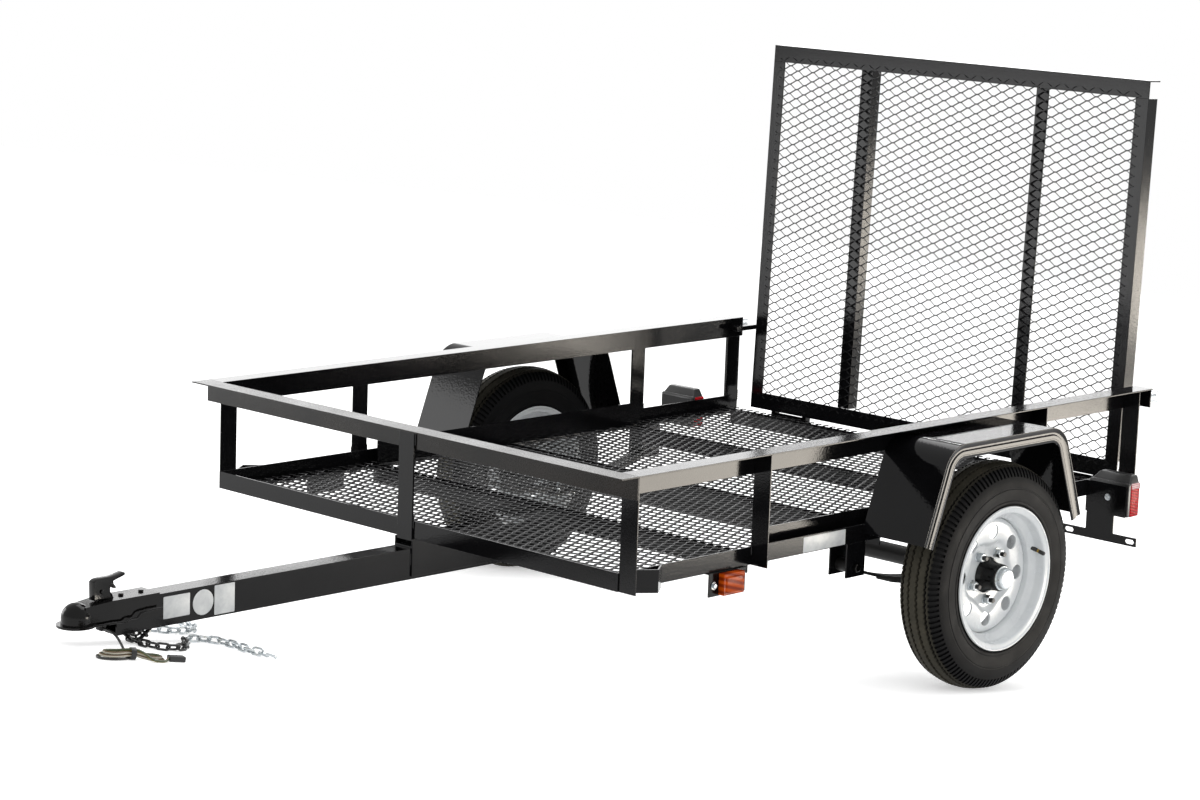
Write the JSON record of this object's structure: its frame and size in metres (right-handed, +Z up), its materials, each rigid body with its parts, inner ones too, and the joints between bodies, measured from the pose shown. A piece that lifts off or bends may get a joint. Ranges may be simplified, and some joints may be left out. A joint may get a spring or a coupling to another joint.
{
  "type": "utility trailer",
  "caption": "Single-axle utility trailer with an angle-iron frame, expanded-mesh floor, side rails, sheet fenders, ball coupler and a mesh ramp gate",
  "frame": {"origin": "on the ground under the middle of the parked trailer", "axes": "+Y from coupler to gate, +X the trailer's left, +Z up"},
  "size_m": [1.668, 2.7671, 1.4517],
  "materials": {
    "frame_paint": "gloss black powder coat",
    "mesh_paint": "gloss black powder coat on expanded metal",
    "coupler_paint": "gloss black paint over cast and pressed steel",
    "fender_paint": "gloss black powder coat on sheet, slight orange peel",
    "axle_paint": "satin black chassis paint",
    "zinc_plate": "bright zinc plating",
    "wheel_paint": "gloss white wheel paint",
    "tyre_rubber": "black tyre rubber",
    "lamp_housing": "black moulded plastic",
    "red_lens": "clear red lens plastic",
    "amber_lens": "clear amber lens plastic",
    "black_plastic": "black moulded plastic",
    "wire_jacket": "soft vinyl wire insulation"
  },
  "bodies": {
    "trailer": {"frame_front_angle": "frame_paint", "frame_rear_angle": "frame_paint", "frame_side_angle_left": "frame_paint", "frame_side_angle_right": "frame_paint", "floor_crossmembers": "frame_paint", "floor_stiffeners": "frame_paint", "tie_down_loops": "frame_paint", "top_rail_front": "frame_paint", "top_rail_left": "frame_paint", "top_rail_right": "frame_paint", "front_posts": "frame_paint", "side_posts_left": "frame_paint", "side_posts_right": "frame_paint", "tongue_tube": "frame_paint", "tongue_bracket": "frame_paint", "spring_hangers": "frame_paint", "hinge_sleeves": "frame_paint", "gate_latches": "frame_paint", "marker_brackets": "frame_paint", "lamp_brackets": "frame_paint", "floor_mesh": "mesh_paint", "coupler_body": "coupler_paint", "coupler_latch": "coupler_paint", "chain_bracket": "coupler_paint", "fender_left": "fender_paint", "fender_right": "fender_paint", "axle_beam": "axle_paint", "spring_left": "axle_paint", "spring_right": "axle_paint", "spring_plates": "axle_paint", "safety_chain_left": "zinc_plate", "safety_chain_right": "zinc_plate", "tail_lamps": "lamp_housing", "tail_lenses": "red_lens", "marker_lenses": "amber_lens", "harness_clip": "black_plastic", "harness_plug": "black_plastic", "harness_lead": "wire_jacket", "harness_hank": "wire_jacket"},
    "wheel_left": {"tyre_left": "tyre_rubber", "rim_left": "wheel_paint", "hub_left": "axle_paint", "hub_cap_left": "zinc_plate"},
    "wheel_right": {"tyre_right": "tyre_rubber", "rim_right": "wheel_paint", "hub_right": "axle_paint", "hub_cap_right": "zinc_plate"},
    "gate": {"gate_top_rail": "frame_paint", "gate_bottom_rail": "frame_paint", "gate_post_left": "frame_paint", "gate_post_right": "frame_paint", "gate_mesh": "mesh_paint", "gate_braces": "frame_paint"}
  },
  "joints": [
    {"name": "wheel_left_spin", "type": "hinge", "parent": "trailer", "child": "wheel_left", "pos_m": [0.766, 0.63588, 0.265], "axis": [1, 0, 0], "continuous": true},
    {"name": "wheel_right_spin", "type": "hinge", "parent": "trailer", "child": "wheel_right", "pos_m": [-0.766, 0.63588, 0.265], "axis": [1, 0, 0], "continuous": true},
    {"name": "gate_hinge", "type": "hinge", "parent": "trailer", "child": "gate", "pos_m": [0, 1.3634, 0.4491], "axis": [-1, 0, 0], "range_deg": [0, 115]}
  ]
}
